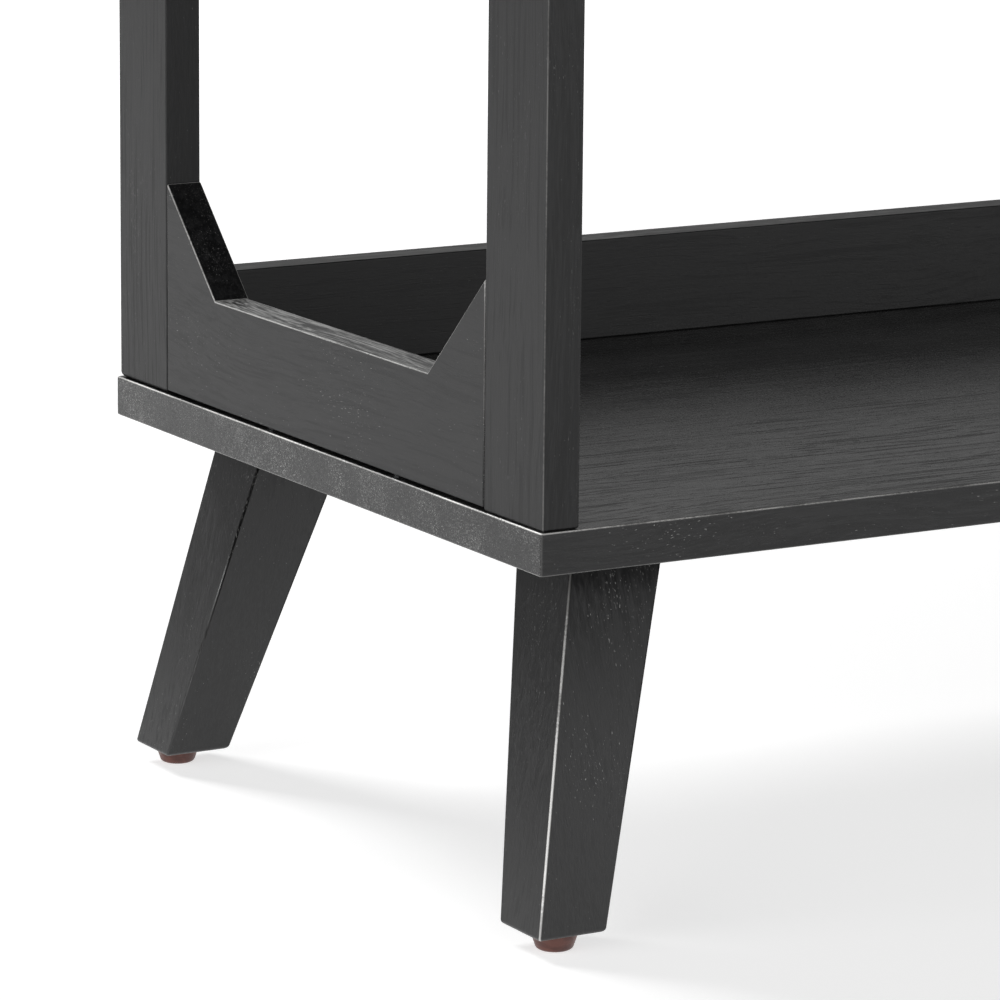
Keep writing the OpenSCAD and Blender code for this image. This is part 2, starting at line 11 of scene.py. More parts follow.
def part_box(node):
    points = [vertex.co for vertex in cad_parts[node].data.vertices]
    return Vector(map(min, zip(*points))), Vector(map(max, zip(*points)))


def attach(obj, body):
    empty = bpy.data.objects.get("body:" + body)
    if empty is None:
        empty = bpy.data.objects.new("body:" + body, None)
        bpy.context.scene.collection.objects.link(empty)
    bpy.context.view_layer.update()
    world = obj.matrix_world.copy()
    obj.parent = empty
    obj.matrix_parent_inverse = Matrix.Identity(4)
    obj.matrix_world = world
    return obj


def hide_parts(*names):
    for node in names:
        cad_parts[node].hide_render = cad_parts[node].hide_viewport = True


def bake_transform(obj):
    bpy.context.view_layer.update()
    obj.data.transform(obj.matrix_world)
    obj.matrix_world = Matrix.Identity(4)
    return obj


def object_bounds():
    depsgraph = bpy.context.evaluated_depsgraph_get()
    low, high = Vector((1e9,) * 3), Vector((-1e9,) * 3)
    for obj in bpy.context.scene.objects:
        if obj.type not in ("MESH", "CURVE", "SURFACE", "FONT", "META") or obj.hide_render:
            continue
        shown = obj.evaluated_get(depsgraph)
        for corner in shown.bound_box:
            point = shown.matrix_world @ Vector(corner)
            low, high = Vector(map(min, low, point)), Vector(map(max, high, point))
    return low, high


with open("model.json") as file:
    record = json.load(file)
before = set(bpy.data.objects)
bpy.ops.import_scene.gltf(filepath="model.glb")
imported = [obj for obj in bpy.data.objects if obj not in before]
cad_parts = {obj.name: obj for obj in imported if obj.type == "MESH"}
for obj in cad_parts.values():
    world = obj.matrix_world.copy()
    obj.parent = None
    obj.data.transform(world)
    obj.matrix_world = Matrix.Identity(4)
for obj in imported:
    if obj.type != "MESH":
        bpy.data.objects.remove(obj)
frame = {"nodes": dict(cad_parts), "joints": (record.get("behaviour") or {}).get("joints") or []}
cad_low, cad_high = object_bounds()

# ---- where the table is seen from ----
# A long lens stands back from the front left corner, a little above the shelf,
# so the near leg, the open end frame and the sweep of the shelf fill the view.
camera_at = Vector((-1.66797, -2.12394, 0.67871))
camera_looks = Vector((0.49194, 0.84553, -0.20754))
camera_data = bpy.data.cameras.new("camera")
camera_data.sensor_width = 36.0
camera_data.lens = 194.98
camera = bpy.data.objects.new("camera", camera_data)
camera.rotation_mode = "QUATERNION"
camera.location = camera_at
camera.rotation_quaternion = camera_looks.to_track_quat("-Z", "Y") @ Quaternion(
    (0, 0, 1), math.radians(0.525)
)
bpy.context.collection.objects.link(camera)
bpy.context.scene.camera = camera


# ---- studio ----
# A seamless white paper floor, lit from within so that shadows on it stay pale. The
# main soft box hangs behind the table and to its left, with white cards all round.
def place_node(tree, kind, sockets=None, **settings):
    """One node, with its settings and with each socket either linked or set."""
    made = tree.nodes.new(kind)
    for setting, value in settings.items():
        setattr(made, setting, value)
    for socket, value in (sockets or {}).items():
        if isinstance(value, bpy.types.NodeSocket):
            tree.links.new(value, made.inputs[socket])
        else:
            made.inputs[socket].default_value = value
    return made


def painted(name, sockets):
    """A material whose shader starts with these socket values."""
    material = bpy.data.materials.new(name)
    material.use_nodes = True
    shader = material.node_tree.nodes["Principled BSDF"]
    for socket, value in sockets.items():
        shader.inputs[socket].default_value = value
    return material, material.node_tree, shader


paper, paper_tree, paper_shader = painted(
    "white paper",
    {
        "Base Color": (0.72, 0.72, 0.72, 1),
        "Roughness": 0.9,
        "Specular IOR Level": 0.1,
        "Emission Strength": 1.0,
    },
)
# the paper glows evenly, and a little more beyond the cards, where only the camera sees it
paper_place = place_node(paper_tree, "ShaderNodeTexCoord").outputs["Object"]
from_table = place_node(
    paper_tree, "ShaderNodeVectorMath", {0: paper_place}, operation="LENGTH"
).outputs["Value"]
beyond = place_node(
    paper_tree,
    "ShaderNodeMapRange",
    {"Value": from_table, "From Min": 1.8, "From Max": 3.2, "To Min": 0.0, "To Max": 0.45},
).outputs["Result"]
seen = place_node(paper_tree, "ShaderNodeLightPath").outputs["Is Camera Ray"]
glow = place_node(
    paper_tree, "ShaderNodeMath", {0: beyond, 1: seen, 2: 0.63}, operation="MULTIPLY_ADD"
).outputs["Value"]
paper_tree.links.new(glow, paper_shader.inputs["Emission Color"])
floor_mesh = bpy.data.meshes.new("floor")
floor_mesh.from_pydata(
    [(-14, -14, 0), (14, -14, 0), (14, 14, 0), (-14, 14, 0)], [], [(0, 1, 2, 3)]
)
floor_mesh.materials.append(paper)
floor = bpy.data.objects.new("floor", floor_mesh)
bpy.context.collection.objects.link(floor)

world = bpy.data.worlds.new("white room")
bpy.context.scene.world = world
world.use_nodes = True
room = world.node_tree
backdrop = place_node(room, "ShaderNodeLightPath").outputs["Is Camera Ray"]
strength = place_node(
    room, "ShaderNodeMapRange", {"Value": backdrop, "To Min": 0.07, "To Max": 1.0}
).outputs["Result"]
room.links.new(strength, room.nodes["Background"].inputs["Strength"])
room.nodes["Background"].inputs["Color"].default_value = (1, 1, 1, 1)
bpy.context.scene.view_settings.view_transform = "Standard"


def soft_box(name, at, wide, tall, brightness, aim_height=None):
    """A flat soft box, turned to the table or, as a standing card, to the upright axis."""
    data = bpy.data.lights.new(name, "AREA")
    data.shape = "RECTANGLE"
    data.size = wide
    data.size_y = tall
    data.energy = math.pi * wide * tall * brightness
    lamp = bpy.data.objects.new(name, data)
    lamp.location = at
    aim = Vector((0, 0, 0.25 if aim_height is None else aim_height))
    lamp.rotation_mode = "QUATERNION"
    lamp.rotation_quaternion = (aim - Vector(at)).to_track_quat("-Z", "Y")
    lamp.visible_camera = False
    bpy.context.collection.objects.link(lamp)


soft_box("key", (-1.184, 2.66, 2.69), 1.2, 1.2, 15.2)
soft_box("back card", (0.0, 4.5, 1.3), 9.0, 2.4, 0.30, aim_height=1.3)
soft_box("left card", (-4.5, -0.9, 1.3), 4.4, 2.4, 2.9, aim_height=1.3)
soft_box("right card", (4.5, 0.2, 1.3), 4.4, 2.4, 0.8, aim_height=1.3)
soft_box("front right card", (3.4, -3.4, 1.3), 3.5, 2.4, 1.9, aim_height=1.3)
soft_box("front card", (-1.0, -4.6, 1.5), 3.5, 2.4, 1.6, aim_height=1.3)


# ---- legs ----
# Four square legs of solid oak, sawn to a taper and splayed outwards both ways, with
# eased long edges. Each is bolted and dowelled up into the shelf. The black satin lacquer
# sinks into the open pores, and a pale line along the arrises is partly wear and partly painted
# highlight.
def calc(tree, operation, first, second=0.0, third=0.0, clamp=False):
    """The result of one sum on shader or geometry values."""
    return place_node(
        tree,
        "ShaderNodeMath",
        {0: first, 1: second, 2: third},
        operation=operation,
        use_clamp=clamp,
    ).outputs[0]


def stretched_noise(tree, place, stretch, detail, distortion=0.0):
    """Noise drawn out by a different amount along each axis."""
    scaled = place_node(
        tree, "ShaderNodeVectorMath", {0: place, 1: stretch}, operation="MULTIPLY"
    ).outputs[0]
    return place_node(
        tree,
        "ShaderNodeTexNoise",
        {"Vector": scaled, "Scale": 1.0, "Detail": detail, "Distortion": distortion},
    ).outputs["Fac"]


def ramp(tree, value, low, high, to_low=0.0, to_high=1.0):
    """The value carried smoothly from one span to another."""
    return place_node(
        tree,
        "ShaderNodeMapRange",
        {"Value": value, "From Min": low, "From Max": high, "To Min": to_low, "To Max": to_high},
        interpolation_type="SMOOTHSTEP",
    ).outputs["Result"]


def blended(tree, share, first, second):
    """One colour carried to another by a share from 0 to 1."""
    return place_node(
        tree, "ShaderNodeMix", {0: share, 6: first, 7: second}, data_type="RGBA"
    ).outputs[2]


def bumped(tree, height, strength, distance):
    """A surface direction roughened by a height."""
    sockets = {"Height": height, "Strength": strength, "Distance": distance}
    return place_node(tree, "ShaderNodeBump", sockets).outputs[0]


def shader_group(name, takes, gives):
    """An empty node group with named sockets, and its two end nodes."""
    tree = bpy.data.node_groups.new(name, "ShaderNodeTree")
    for socket, kind, start in takes:
        made = tree.interface.new_socket(socket, in_out="INPUT", socket_type=kind)
        if start is not None:
            made.default_value = start
    for socket in gives:
        tree.interface.new_socket(socket, in_out="OUTPUT", socket_type="NodeSocketFloat")
    return tree, tree.nodes.new("NodeGroupInput"), tree.nodes.new("NodeGroupOutput")


# grain that runs along the group's own X: growth rings, fibres, streaks and open pores, and
# short pale flecks that are painted highlights, glints where pore rims would catch the light
open_grain, grain_in, grain_out = shader_group(
    "open grain",
    [
        ("Place", "NodeSocketVector", None),
        ("Waviness", "NodeSocketFloat", 0.024),
        ("End", "NodeSocketFloat", 0.0),
    ],
    ["Shade", "Pores", "Glints", "Height"],
)
grain_place = grain_in.outputs["Place"]
drift = stretched_noise(open_grain, grain_place, (5, 15, 15), 2.0)
drift = calc(open_grain, "SUBTRACT", drift, 0.5)
drift = calc(open_grain, "MULTIPLY", drift, grain_in.outputs["Waviness"])
sideways = place_node(open_grain, "ShaderNodeCombineXYZ", {"Y": drift, "Z": drift}).outputs[0]
wavy_place = place_node(open_grain, "ShaderNodeVectorMath", {0: grain_place, 1: sideways}).outputs[0]
growth = stretched_noise(open_grain, wavy_place, (1.3, 24, 24), 2.0, 0.4)
growth = calc(open_grain, "MULTIPLY", growth, 13.0)
rings = ramp(open_grain, calc(open_grain, "FRACT", growth), 0.0, 0.45, 1.0, 0.0)
bands = stretched_noise(open_grain, wavy_place, (4, 90, 90), 3.0, 0.3)
streaks = stretched_noise(open_grain, wavy_place, (11, 520, 520), 3.0)
lines = calc(
    open_grain, "MULTIPLY", calc(open_grain, "SUBTRACT", streaks, 0.54), 11.0, clamp=True
)
fibres = stretched_noise(open_grain, wavy_place, (85, 1500, 1500), 2.0)
pore_noise = stretched_noise(open_grain, wavy_place, (150, 2300, 2300), 1.0)
pore_edge = calc(
    open_grain, "MULTIPLY_ADD", rings, -0.12, calc(open_grain, "MULTIPLY_ADD", bands, -0.15, 0.78)
)
pores = calc(
    open_grain,
    "MULTIPLY",
    calc(open_grain, "SUBTRACT", pore_noise, pore_edge),
    18.0,
    clamp=True,
)
pores = calc(open_grain, "MAXIMUM", pores, calc(open_grain, "MULTIPLY", lines, 0.8))
# painted highlight: short pale glints along the grain, more of them on end grain
glint_noise = stretched_noise(open_grain, wavy_place, (450, 2400, 2400), 1.0)
glint_groups = stretched_noise(open_grain, wavy_place, (16, 34, 34), 2.0)
glint_edge = calc(open_grain, "MULTIPLY_ADD", glint_groups, -0.33, 0.912)
glint_edge = calc(open_grain, "MULTIPLY_ADD", grain_in.outputs["End"], -0.125, glint_edge)
glints = calc(
    open_grain,
    "MULTIPLY",
    calc(open_grain, "SUBTRACT", glint_noise, glint_edge),
    14.0,
    clamp=True,
)
shade = calc(
    open_grain, "MULTIPLY_ADD", fibres, 0.42, calc(open_grain, "MULTIPLY", streaks, 0.46)
)
shade = calc(open_grain, "MULTIPLY_ADD", bands, 0.08, shade)
shade = calc(open_grain, "MULTIPLY_ADD", rings, -0.05, shade)
height = calc(open_grain, "MULTIPLY_ADD", pores, -0.5, calc(open_grain, "MULTIPLY", streaks, 0.8))
height = calc(open_grain, "MULTIPLY_ADD", fibres, 0.7, height)
grain_gives = (("Shade", shade), ("Pores", pores), ("Glints", glints), ("Height", height))
for socket, value in grain_gives:
    open_grain.links.new(value, grain_out.inputs[socket])

# the pale line along a rounded edge: where the finish is rubbed thin, and on the oak also a painted
# highlight
pale_edge_group, pale_edge_in, pale_edge_out = shader_group(
    "pale edge: wear and painted highlight",
    [
        ("Arris", "NodeSocketFloat", 0.0),
        ("Place", "NodeSocketVector", None),
        ("Amount", "NodeSocketFloat", 0.5),
    ],
    ["Worn"],
)
pale_edge_patches = stretched_noise(pale_edge_group, pale_edge_in.outputs["Place"], (22, 22, 22), 3.0)
pale_edge_grit = stretched_noise(pale_edge_group, pale_edge_in.outputs["Place"], (900, 900, 900), 2.0)
pale_edge_mix = calc(
    pale_edge_group, "MULTIPLY_ADD", pale_edge_patches, 0.75, calc(pale_edge_group, "MULTIPLY", pale_edge_grit, 0.25)
)
pale_edge_band = calc(pale_edge_group, "MULTIPLY", calc(pale_edge_group, "POWER", pale_edge_in.outputs["Arris"], 2.2), 1.5)
pale_edge_mask = calc(pale_edge_group, "MULTIPLY", pale_edge_band, ramp(pale_edge_group, pale_edge_mix, 0.40, 0.56, 0.4, 1.0))
pale_edge_group.links.new(
    calc(pale_edge_group, "MULTIPLY", pale_edge_mask, pale_edge_in.outputs["Amount"], clamp=True),
    pale_edge_out.inputs["Worn"],
)

# fine pale dust specks, gathered in clouds
settled_dust, dust_in, dust_out = shader_group(
    "settled dust",
    [("Place", "NodeSocketVector", None), ("Amount", "NodeSocketFloat", 0.5)],
    ["Dust"],
)
dust_specks = stretched_noise(settled_dust, dust_in.outputs["Place"], (1400, 1400, 1400), 1.0)
dust_clouds = stretched_noise(settled_dust, dust_in.outputs["Place"], (14, 14, 14), 2.0)
dust_edge = calc(settled_dust, "MULTIPLY_ADD", dust_clouds, -0.10, 0.83)
dust_mask = calc(
    settled_dust, "MULTIPLY", calc(settled_dust, "SUBTRACT", dust_specks, dust_edge), 16.0, clamp=True
)
settled_dust.links.new(
    calc(settled_dust, "MULTIPLY", dust_mask, dust_in.outputs["Amount"], clamp=True),
    dust_out.inputs["Dust"],
)

GRAIN_TURN = {"X": (0, 0, 0), "Y": (0, 0, math.pi / 2), "Z": (0, math.pi / 2, 0)}
DARK_OAK = (0.004, 0.004, 0.0043, 1)
LIGHTER_OAK = (0.015, 0.015, 0.0155, 1)
PORE_BLACK = (0.002, 0.002, 0.002, 1)
# painted light: level faces that the light falls on are painted pale between these two colours
PAINTED_LIT_DARK = (0.05, 0.05, 0.05, 1)
PAINTED_LIT_PALE = (0.60, 0.60, 0.59, 1)
# near-white of the pale arris line: partly worn finish, partly painted highlight
WEAR_AND_HIGHLIGHT_WHITE = (0.95, 0.94, 0.92, 1)
# grey of the painted glints on the pore rims
GLINT_GREY = (0.42, 0.42, 0.41, 1)
DUST_GREY = (0.35, 0.35, 0.34, 1)


def black_oak(name, grain, glinted=0.5, pored=0.35, gloss=(0.34, 0.52), shine=0.48):
    """Black lacquered oak with its grain along one axis of the table."""
    material, tree, shader = painted(name, {"Specular IOR Level": shine})
    place = place_node(tree, "ShaderNodeTexCoord").outputs["Object"]
    turned_place = place_node(
        tree, "ShaderNodeMapping", {"Vector": place, "Rotation": GRAIN_TURN[grain]}
    ).outputs[0]
    facing = place_node(tree, "ShaderNodeNewGeometry").outputs["Normal"]
    along_grain = place_node(
        tree,
        "ShaderNodeVectorMath",
        {0: facing, 1: [float(axis == grain) for axis in "XYZ"]},
        operation="DOT_PRODUCT",
    ).outputs["Value"]
    end_grain = calc(tree, "MULTIPLY", along_grain, along_grain)
    grain_node = place_node(
        tree, "ShaderNodeGroup", {"Place": turned_place, "End": end_grain}, node_tree=open_grain
    )
    arris = place_node(tree, "ShaderNodeAttribute", attribute_name="arris").outputs["Fac"]
    thin = place_node(tree, "ShaderNodeAttribute", attribute_name="thin").outputs["Fac"]
    pale_edge_share = place_node(
        tree,
        "ShaderNodeGroup",
        {"Arris": arris, "Place": place, "Amount": 1.0},
        node_tree=pale_edge_group,
    ).outputs["Worn"]
    dust = place_node(
        tree, "ShaderNodeGroup", {"Place": place, "Amount": 0.12}, node_tree=settled_dust
    ).outputs["Dust"]
    shade = grain_node.outputs["Shade"]
    colour = blended(tree, ramp(tree, shade, 0.38, 0.62), DARK_OAK, LIGHTER_OAK)
    pore_share = calc(tree, "MULTIPLY", grain_node.outputs["Pores"], pored)
    colour = blended(tree, pore_share, colour, PORE_BLACK)
    # painted light: the flat of each end notch and the rail top are painted pale for the light that
    # falls on them
    painted_lit_colour = blended(tree, ramp(tree, shade, 0.40, 0.60), PAINTED_LIT_DARK, PAINTED_LIT_PALE)
    colour = blended(tree, thin, colour, painted_lit_colour)
    # the pale arris line, partly wear and partly a painted highlight along the rounded edges
    colour = blended(tree, pale_edge_share, colour, WEAR_AND_HIGHLIGHT_WHITE)
    # painted highlight: the glints lighten the colour
    fleck_share = calc(tree, "MULTIPLY", grain_node.outputs["Glints"], glinted)
    colour = blended(tree, fleck_share, colour, GLINT_GREY)
    colour = blended(tree, dust, colour, DUST_GREY)
    tree.links.new(colour, shader.inputs["Base Color"])
    roughness = calc(
        tree,
        "MULTIPLY_ADD",
        grain_node.outputs["Pores"],
        0.42 * pored,
        ramp(tree, shade, 0.38, 0.60, *gloss),
    )
    tree.links.new(roughness, shader.inputs["Roughness"])
    bump = bumped(tree, grain_node.outputs["Height"], 0.35, 0.00012)
    tree.links.new(bump, shader.inputs["Normal"])
    return material


def finished_mesh(name, shape, material):
    """A piece from a bmesh, shaded smooth with its flat faces kept flat."""
    for face in shape.faces:
        face.smooth = True
    mesh = bpy.data.meshes.new(name)
    shape.to_mesh(mesh)
    shape.free()
    mesh.materials.append(material)
    piece = bpy.data.objects.new(name, mesh)
    bpy.context.collection.objects.link(piece)
    piece.modifiers.new("flat faces stay flat", "WEIGHTED_NORMAL").keep_sharp = True
    return piece


LONG_EDGE_SPARED = 0.22


def eased_block(
    name,
    foot,
    head,
    low_z,
    high_z,
    corner,
    eased,
    material,
    wear_and_highlight=(0.12,) * 6,
    thin_top=0.0,
    right_share=1.0,
):
    """A four-sided board or leg, from its footprint (x0, x1, y0, y1) to its head's, with
    round upright corners and eased ends, where eased gives the bottom's and the top's.
    wear_and_highlight is how strong the pale line, partly wear and partly painted highlight, is on the
    four corners, from right rear round by the left, then the bottom and the top, and right_share is how
    much of that is left at the right."""
    quarter = [math.radians(a) for a in (0, 18, 36, 54, 72, 90)]
    levels = []
    for a in quarter[::-1]:
        levels.append((low_z + eased[0] * (1 - math.sin(a)), eased[0] * (1 - math.cos(a)), a))
    for a in quarter if eased[1] else quarter[:1]:
        levels.append((high_z - eased[1] * (1 - math.sin(a)), eased[1] * (1 - math.cos(a)), a))
    shape = bmesh.new()
    mask = shape.verts.layers.float.new("arris")
    thin = shape.verts.layers.float.new("thin")
    rings = []
    for z, inset, rise in levels:
        share = (z - low_z) / (high_z - low_z)
        x0, x1, y0, y1 = [f + (h - f) * share for f, h in zip(foot, head)]
        reach = corner + inset
        end_wear_and_highlight = wear_and_highlight[4] if share < 0.5 else wear_and_highlight[5]
        right, left = x1 - reach, x0 + reach
        rear, front = y1 - reach, y0 + reach
        ring = []
        for k, (cx, cy) in enumerate(((right, rear), (left, rear), (left, front), (right, front))):
            side_share = right_share if k in (0, 3) else 1.0
            for a in quarter:
                angle = a + k * math.pi / 2
                end_share = side_share * (1 - LONG_EDGE_SPARED * abs(math.sin(angle)))
                x = cx + corner * math.cos(angle)
                y = cy + corner * math.sin(angle)
                vert = shape.verts.new((x, y, z))
                end_pale_edge = end_wear_and_highlight * end_share * math.sin(2 * rise)
                vert[mask] = max(wear_and_highlight[k] * math.sin(2 * a), end_pale_edge)
                # painted light: the top face may be painted pale
                vert[thin] = thin_top if z > high_z - 1e-6 else 0.0
                ring.append(vert)
        rings.append(ring)
    for lower, upper in zip(rings, rings[1:]):
        for k in range(len(lower)):
            j = (k + 1) % len(lower)
            shape.faces.new((lower[k], lower[j], upper[j], upper[k]))
    shape.faces.new(rings[0][::-1])
    shape.faces.new(rings[-1])
    return finished_mesh(name, shape, material)


def board(name, low, high, corner, eased, material, wear_and_highlight=(0.12,) * 6, **finish):
    """An upright or flat board that fills the space between two corners."""
    outline = (low.x, high.x, low.y, high.y)
    return eased_block(name, outline, outline, low.z, high.z, corner, eased, material, wear_and_highlight, **finish)


def belongs(piece, body, slot, *nodes):
    """The piece moves with a body and stands for CAD nodes; the slot is not used."""
    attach(piece, body)
    if nodes:
        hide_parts(*nodes)
    return piece


oak_upright = black_oak("black oak, grain upright", "Z", glinted=0.6, pored=0.2, shine=0.60)
shelf_low, shelf_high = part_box("lower_shelf")
LEG_HEAD = 0.047
LEG_FOOT = 0.034
LEG_CORNER = 0.0011
OUTER_CORNER = {(1, 1): 0, (-1, 1): 1, (-1, -1): 2, (1, -1): 3}
LEG_EASING = 0.0018
# how strong each leg's pale arris line is, partly wear and partly painted highlight, strongest at the
# front left leg
LEG_WEAR_AND_HIGHLIGHT = {"front_left": 1.0, "front_right": 0.5, "rear_left": 0.45, "rear_right": 0.4}

for side, across in (("left", -1), ("right", 1)):
    for end, along in (("front", -1), ("rear", 1)):
        low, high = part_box(f"leg_{end}_{side}")
        outer = (low.x if across < 0 else high.x, low.y if along < 0 else high.y)
        inner = (high.x if across < 0 else low.x, high.y if along < 0 else low.y)
        foot = sorted((outer[0], outer[0] - across * LEG_FOOT))
        foot += sorted((outer[1], outer[1] - along * LEG_FOOT))
        head = sorted((inner[0], inner[0] + across * LEG_HEAD))
        head += sorted((inner[1], inner[1] + along * LEG_HEAD))
        wear_and_highlight = [0.1] * 4 + [0.25, 0.0]
        wear_and_highlight[OUTER_CORNER[across, along]] = LEG_WEAR_AND_HIGHLIGHT[f"{end}_{side}"]
        leg = eased_block(
            f"{end}_{side}_leg",
            foot,
            head,
            low.z,
            high.z,
            LEG_CORNER,
            (LEG_EASING, 0),
            oak_upright,
            wear_and_highlight,
        )
        belongs(leg, "base", "black_oak", f"leg_{end}_{side}")


# ---- glides ----
# A brown moulded plastic glide is nailed up into the foot of each leg. Its sole has a
# rounded rim and a shallow dish round the nail, so it slides without marking a floor.
def turned(name, profile, centre, material, sides=48):
    """A solid turned about an upright axis from (radius, height) points, axis point to axis point."""
    shape = bmesh.new()
    rings = []
    for radius, at in profile:
        if radius == 0:
            rings.append([shape.verts.new((centre[0], centre[1], at))])
        else:
            rings.append(
                [
                    shape.verts.new(
                        (
                            centre[0] + radius * math.cos(2 * math.pi * k / sides),
                            centre[1] + radius * math.sin(2 * math.pi * k / sides),
                            at,
                        )
                    )
                    for k in range(sides)
                ]
            )
    for one, other in zip(rings, rings[1:]):
        for k in range(sides):
            corner = (k + 1) % sides
            if len(one) == 1:
                shape.faces.new((one[0], other[corner], other[k]))
            elif len(other) == 1:
                shape.faces.new((one[k], one[corner], other[0]))
            else:
                shape.faces.new((one[k], one[corner], other[corner], other[k]))
    bmesh.ops.recalc_face_normals(shape, faces=shape.faces)
    return finished_mesh(name, shape, material)


brown_plastic, tree, shader = painted("brown plastic", {})
place = place_node(tree, "ShaderNodeTexCoord").outputs["Object"]
swirl = stretched_noise(tree, place, (70, 70, 160), 3.0, 1.5)
swirl_share = ramp(tree, swirl, 0.35, 0.65)
brown = blended(tree, swirl_share, (0.060, 0.017, 0.012, 1), (0.105, 0.034, 0.024, 1))
tree.links.new(brown, shader.inputs["Base Color"])
scuffs = stretched_noise(tree, place, (1500, 300, 1500), 2.0)
tree.links.new(ramp(tree, scuffs, 0.4, 0.7, 0.30, 0.50), shader.inputs["Roughness"])
moulded = bumped(tree, stretched_noise(tree, place, (2200, 2200, 2200), 2.0), 0.3, 0.0001)
tree.links.new(moulded, shader.inputs["Normal"])

GLIDE_TAPER = 0.745
GLIDE_RIM = 0.0018
GLIDE_DISH = 0.0012
GLIDE_EDGE = 0.0012
for side in ("left", "right"):
    for end in ("front", "rear"):
        low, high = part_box(f"glide_{end}_{side}")
        top_radius = (high.x - low.x) / 2
        tall = high.z - low.z
        sole_radius = top_radius * GLIDE_TAPER
        slope = (top_radius - sole_radius) / tall
        outline = [(0.0, GLIDE_DISH), (0.0030, GLIDE_DISH), (0.0038, 0.0)]
        for a in (0, 22.5, 45, 67.5, 90):
            reach = sole_radius - GLIDE_RIM + GLIDE_RIM * math.sin(math.radians(a))
            rise = GLIDE_RIM - GLIDE_RIM * math.cos(math.radians(a))
            outline.append((reach + slope * GLIDE_RIM * a / 90, rise))
        outline.append((top_radius - slope * GLIDE_EDGE, tall - GLIDE_EDGE))
        outline.append((top_radius - GLIDE_EDGE / 3, tall - GLIDE_EDGE / 4))
        outline += [(top_radius - GLIDE_EDGE, tall), (0.0, tall)]
        glide = turned(
            f"{end}_{side}_glide",
            outline,
            ((low.x + high.x) / 2, (low.y + high.y) / 2),
            brown_plastic,
        )
        belongs(glide, "base", "brown_plastic", f"glide_{end}_{side}")


# ---- lower shelf ----
# One long board of veneered oak, lipped all round and lacquered black, with its grain
# running the length of the table. Everything else stands on it or hangs from it.
oak_long = black_oak(
    "black oak, grain lengthwise", "X", glinted=0.6, pored=0.33, gloss=(0.21, 0.29), shine=0.42
)
SHELF_CORNER = 0.0012
SHELF_EASING = 0.0009
# the shelf's pale arris line, partly wear and partly painted highlight, fades towards the right end
shelf_wear_and_highlight = (0.2, 0.2, 0.2, 0.2, 0.4, 0.9)
shelf = board(
    "shelf",
    shelf_low,
    shelf_high,
    SHELF_CORNER,
    (SHELF_EASING, SHELF_EASING),
    oak_long,
    shelf_wear_and_highlight,
    right_share=0.2,
)
belongs(shelf, "base", "black_oak", "lower_shelf")

# ---- posts ----
# Flat oak posts, one at each corner, set on edge with their wide face to the end. Their
# lower ends are sanded over, which leaves a fine dark line where they meet the shelf.
oak_post = black_oak("black oak, posts", "Z", glinted=0.2, pored=0.15, gloss=(0.38, 0.49), shine=0.34)
POST_CORNER = 0.0008
POST_HEAD = 0.0010
POST_FOOT = {"front": 0.0013, "rear": 0.0024}
for side, across in (("left", -1), ("right", 1)):
    for end, along in (("front", -1), ("rear", 1)):
        low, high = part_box(f"post_{end}_{side}")
        wear_and_highlight = [0.02] * 4 + [0.1, 0.1]
        wear_and_highlight[OUTER_CORNER[across, along]] = 0.33
        easing = (POST_FOOT[end], POST_HEAD)
        post = board(f"{end}_{side}_post", low, high, POST_CORNER, easing, oak_post, wear_and_highlight)
        belongs(post, "base", "black_oak", f"post_{end}_{side}")


# ---- end panels ----
# A low panel closes each end between the posts. Its top is cut down in the middle, with
# a slope at either side of the flat, and dowels join it to the posts.
def milled(name, start_ring, end_ring, arris, material, pale_edges_above=math.inf, painted_lit_at=None):
    """A solid between two matching outlines with every edge eased. Edges above a height carry the pale
    line, partly wear and partly painted highlight, and painted_lit_at is the height of the level faces
    painted pale as painted light."""
    shape = bmesh.new()
    lower = [shape.verts.new((x, y, z)) for x, y, z in start_ring]
    upper = [shape.verts.new((x, y, z)) for x, y, z in end_ring]
    shape.faces.new(lower)
    shape.faces.new(upper)
    for i in range(len(lower)):
        j = (i + 1) % len(lower)
        shape.faces.new((lower[i], lower[j], upper[j], upper[i]))
    bmesh.ops.recalc_face_normals(shape, faces=shape.faces)
    rounded = set(
        bmesh.ops.bevel(
            shape, geom=shape.edges[:], offset=arris, segments=4, profile=0.5, affect="EDGES"
        )["faces"]
    )
    mask = shape.verts.layers.float.new("arris")
    thin = shape.verts.layers.float.new("thin")
    for vert in shape.verts:
        on_edge = all(face in rounded for face in vert.link_faces)
        vert[mask] = 0.6 * float(on_edge and vert.co.z > pale_edges_above)
        vert[thin] = float(painted_lit_at is not None and abs(vert.co.z - painted_lit_at) < 1e-5)
    shape.normal_update()
    return finished_mesh(name, shape, material)


def profiled(name, outline, axis, start, stop, arris, material, pale_edges_above=math.inf, painted_lit_at=None):
    """A board of one outline, (first, second) across the other two axes, run along an axis."""
    order = {"X": lambda a, b, t: (t, a, b), "Y": lambda a, b, t: (a, t, b)}[axis]
    return milled(
        name,
        [order(a, b, start) for a, b in outline],
        [order(a, b, stop) for a, b in outline],
        arris,
        material,
        pale_edges_above,
        painted_lit_at,
    )


